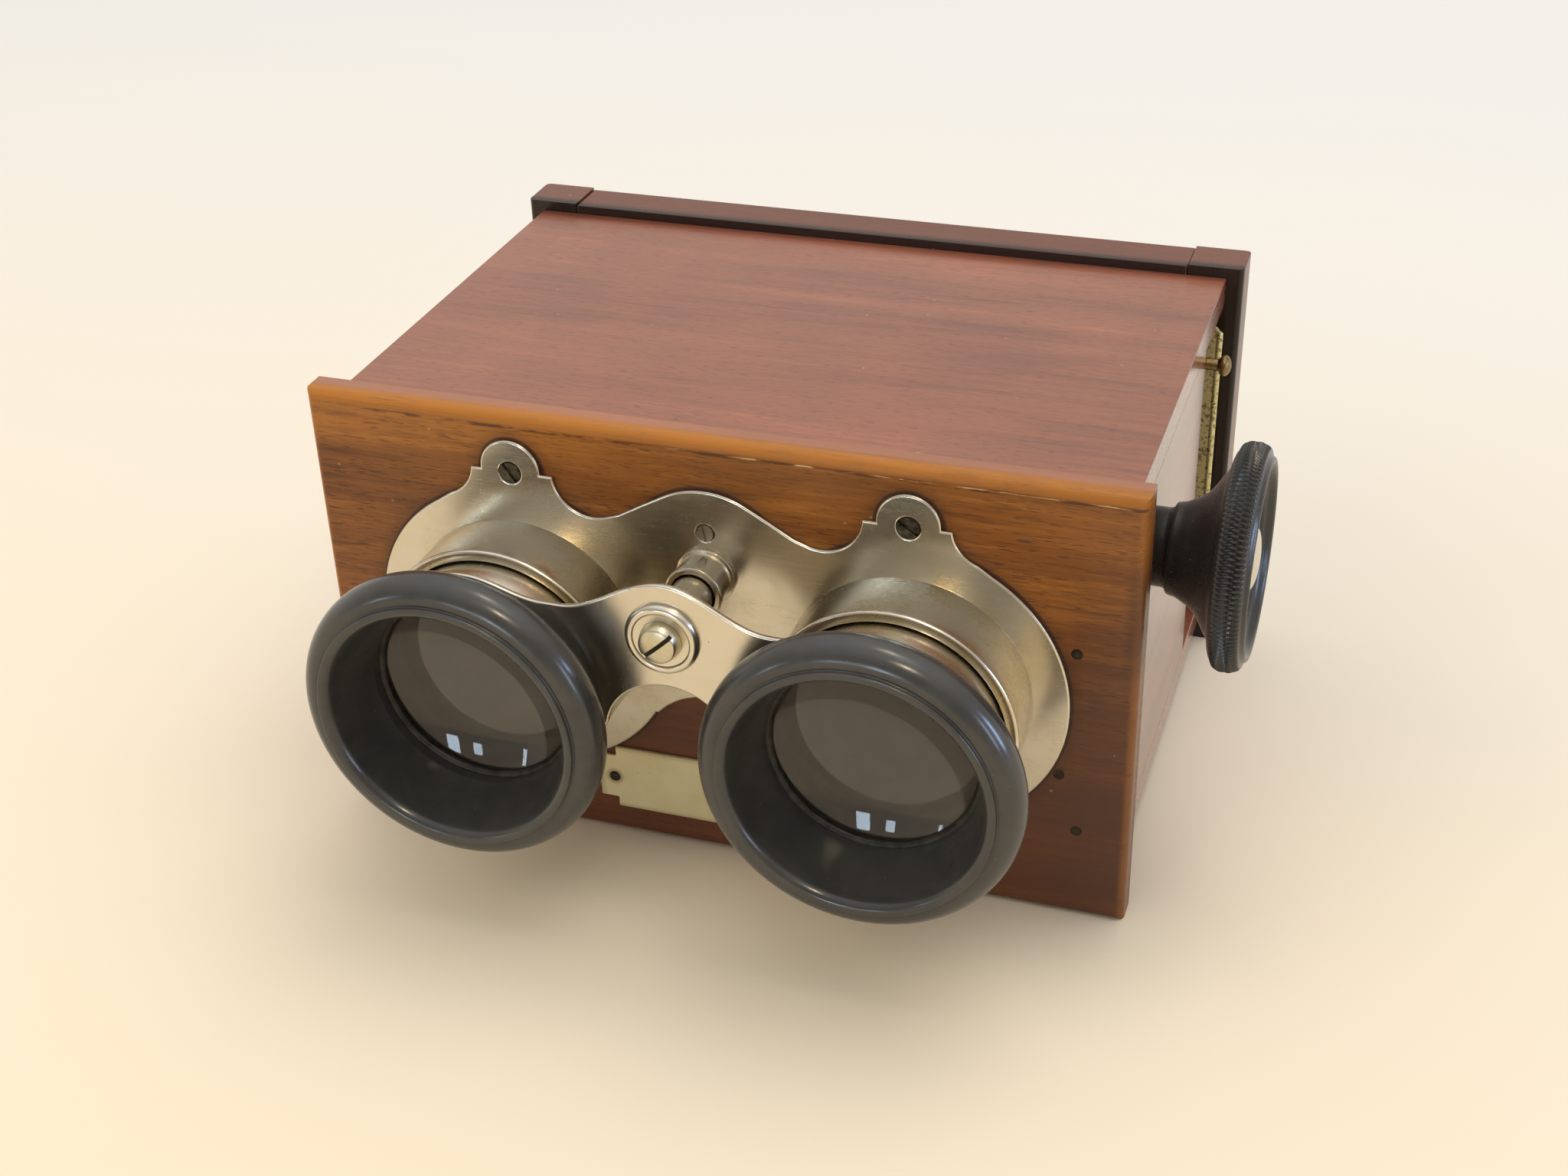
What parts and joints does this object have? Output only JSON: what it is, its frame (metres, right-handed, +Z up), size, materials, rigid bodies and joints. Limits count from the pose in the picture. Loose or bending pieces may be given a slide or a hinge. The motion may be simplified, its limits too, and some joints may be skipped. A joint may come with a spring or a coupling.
{
  "type": "stereoscope",
  "caption": "Table stereoscope for glass stereo views: mahogany box, rack-focused twin eyepieces on a bridge, side focusing wheel, side slide slot with ejector.",
  "frame": {"origin": "on the table, at the middle of the front panel's bottom face, midway between the two lenses", "axes": "+X to the focusing wheel, +Y from the eyepieces to the ground glass at the rear, +Z up"},
  "size_m": [0.1466, 0.1249, 0.0754],
  "materials": {
    "mahogany_front": "varnished mahogany, golden at the worn edges",
    "mahogany_case": "varnished mahogany, reddish brown",
    "mahogany_frame": "dark varnished mahogany",
    "black_board": "matt black paint on thin board",
    "nickel": "worn nickel plate with a warm tone and fine pitting",
    "steel": "drawn steel",
    "brass": "lacquered brass, dulled",
    "tarnished_brass": "speckled tarnished brass",
    "ebonite": "hard rubber, satin black",
    "black_ring": "blackened metal",
    "lens_glass": "polished crown glass",
    "ground_glass": "ground on the inner face",
    "ivory_plaque": "cream celluloid, aged",
    "dark_pins": "darkened iron and filler"
  },
  "bodies": {
    "case": {"front_panel": "mahogany_front", "top_board": "mahogany_case", "bottom_board": "mahogany_case", "left_board": "mahogany_case", "right_board": "mahogany_case", "septum": "black_board", "picture_mask": "black_board", "slide_rail": "mahogany_frame", "slide_stop": "mahogany_frame", "rear_stile_left": "mahogany_frame", "rear_stile_right": "mahogany_frame", "rear_rail_top": "mahogany_frame", "rear_rail_bottom": "mahogany_frame", "ground_glass": "ground_glass", "glass_beads": "mahogany_frame", "front_plate": "nickel", "plate_screws": "nickel", "outer_barrel_left": "nickel", "outer_barrel_right": "nickel", "guide_tube": "nickel", "plaque": "ivory_plaque", "plaque_pins": "dark_pins", "nail_plugs": "dark_pins", "shaft_bracket": "brass", "bracket_screws": "brass", "shaft_bush": "brass", "ejector_guides": "brass", "plate_pins": "brass", "pressure_springs": "tarnished_brass"},
    "carriage": {"bridge_plate": "nickel", "inner_tube_left": "nickel", "inner_tube_right": "nickel", "lens_left": "lens_glass", "lens_right": "lens_glass", "lens_ring_left": "black_ring", "lens_ring_right": "black_ring", "eyecup_left": "ebonite", "eyecup_right": "ebonite", "guide_rod": "nickel", "bridge_washer": "nickel", "bridge_screw": "nickel"},
    "focus": {"focus_wheel": "ebonite", "wheel_cap": "nickel", "focus_shaft": "steel", "shaft_collar": "brass", "focus_pinion": "brass"},
    "ejector": {"ejector_bar": "brass", "ejector_knob": "brass"},
    "pressure": {"pressure_plate": "tarnished_brass"}
  },
  "joints": [
    {"name": "focus_turn", "type": "hinge", "parent": "case", "child": "focus", "pos_m": [0.06, 0.0142, 0.0583], "axis": [-1, 0, 0], "range_deg": [-106, 130]},
    {"name": "carriage_slide", "type": "slide", "parent": "case", "child": "carriage", "axis": [0, -1, 0], "range_m": [-0.0065, 0.008]},
    {"name": "ejector_pull", "type": "slide", "parent": "case", "child": "ejector", "axis": [1, 0, 0], "range_m": [0, 0.02]},
    {"name": "pressure_push", "type": "slide", "parent": "case", "child": "pressure", "axis": [0, 1, 0], "range_m": [0, 0.002], "stiffness_N_per_m": 300, "springref_m": -0.003, "deforming": ["pressure_springs"]}
  ],
  "couplings": [
    {"joint": "carriage_slide", "follows": "focus_turn", "m_per_rad": 0.0035}
  ]
}
